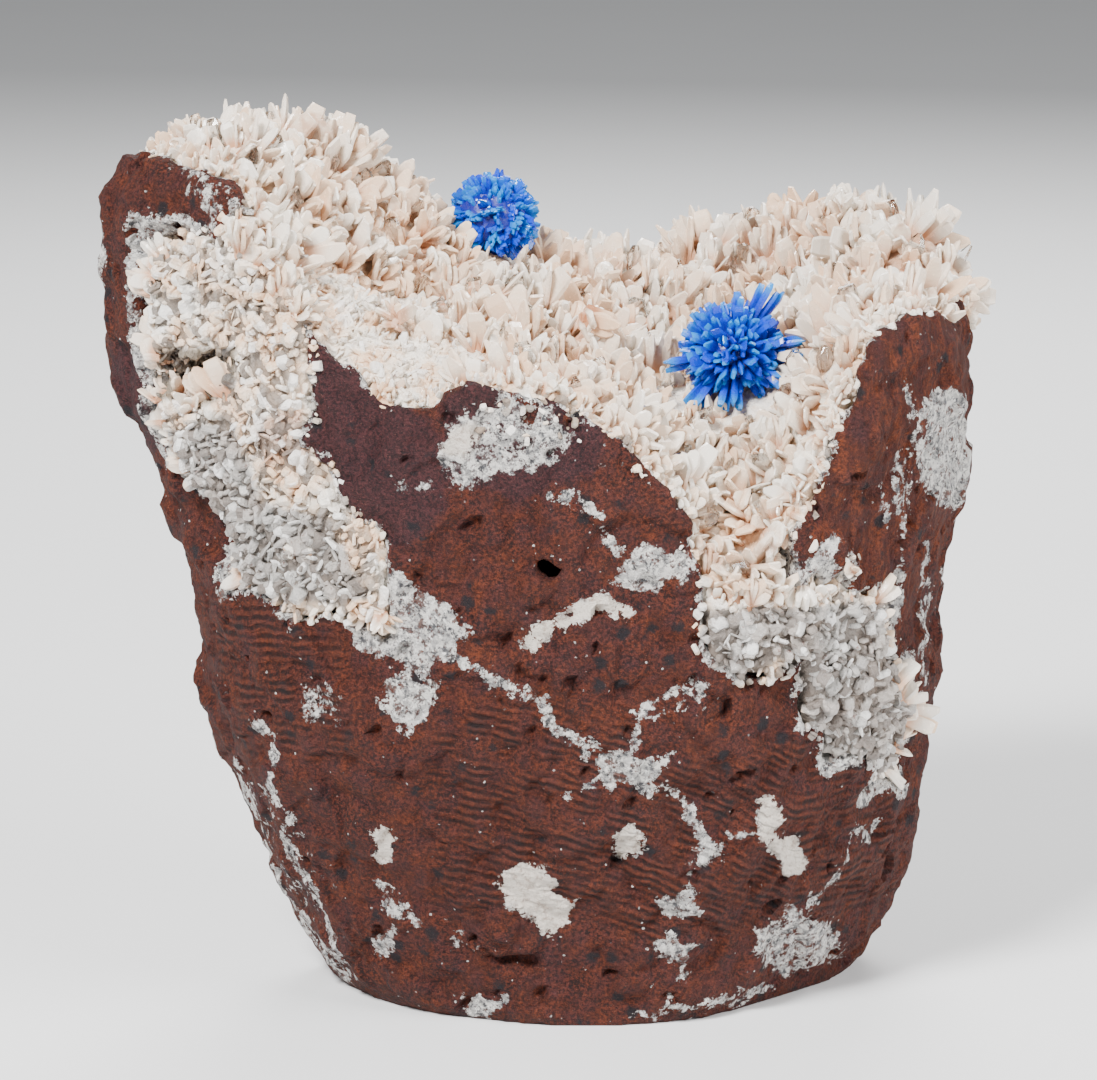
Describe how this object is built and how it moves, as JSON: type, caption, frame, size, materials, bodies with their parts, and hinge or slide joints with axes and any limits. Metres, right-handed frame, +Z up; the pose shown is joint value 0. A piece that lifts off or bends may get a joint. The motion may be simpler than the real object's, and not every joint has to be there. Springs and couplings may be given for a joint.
{
  "type": "cavansite specimen",
  "caption": "Block of red basalt with an open hollow lined by a white stilbite crust, holding blue balls of bladed cavansite; cut flat to stand.",
  "frame": {"origin": "middle of the specimen's box in plan, at the flat underside it stands on", "axes": "+Z up; -Y is the front with the deep notch; +X to the right seen from the front; +Y is the shortest way through"},
  "size_m": [0.0702, 0.0468, 0.0699],
  "materials": {
    "basalt_matrix": "sawn and broken red-brown basalt, dull",
    "stilbite_crust": "white to peach zeolite crystals, glassy to pearly",
    "cavansite_rosette_upper": "azure blue glassy blades",
    "cavansite_rosette_front": "deep blue glassy prisms"
  },
  "bodies": {
    "root": {"basalt_matrix": "basalt_matrix", "stilbite_crust": "stilbite_crust", "cavansite_rosette_upper": "cavansite_rosette_upper", "cavansite_rosette_front": "cavansite_rosette_front"}
  },
  "joints": []
}
